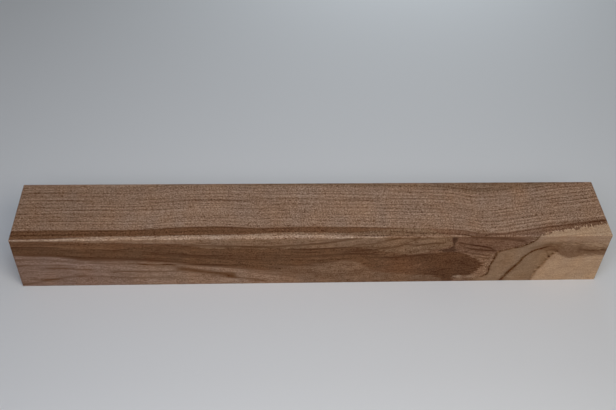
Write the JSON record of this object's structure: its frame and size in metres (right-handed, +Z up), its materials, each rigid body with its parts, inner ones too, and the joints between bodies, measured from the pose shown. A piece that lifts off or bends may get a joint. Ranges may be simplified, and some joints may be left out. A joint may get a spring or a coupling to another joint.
{
  "type": "walnut turning blank",
  "caption": "Rectangular sawn bar of solid walnut with heartwood and a pale sapwood corner, to be gripped by its end faces and turned on a lathe.",
  "frame": {"origin": "centre of the bottom face that the bar rests on", "axes": "+X along the grain, the bar's length; +Y across the width, from the flat-sawn front side to the back; +Z up through the height"},
  "size_m": [0.46, 0.06, 0.0535],
  "materials": {
    "walnut": "bare sawn walnut, dull, greyish-brown heartwood with darker streaks and a tan sapwood corner"
  },
  "bodies": {
    "root": {"blank": "walnut"}
  },
  "joints": []
}
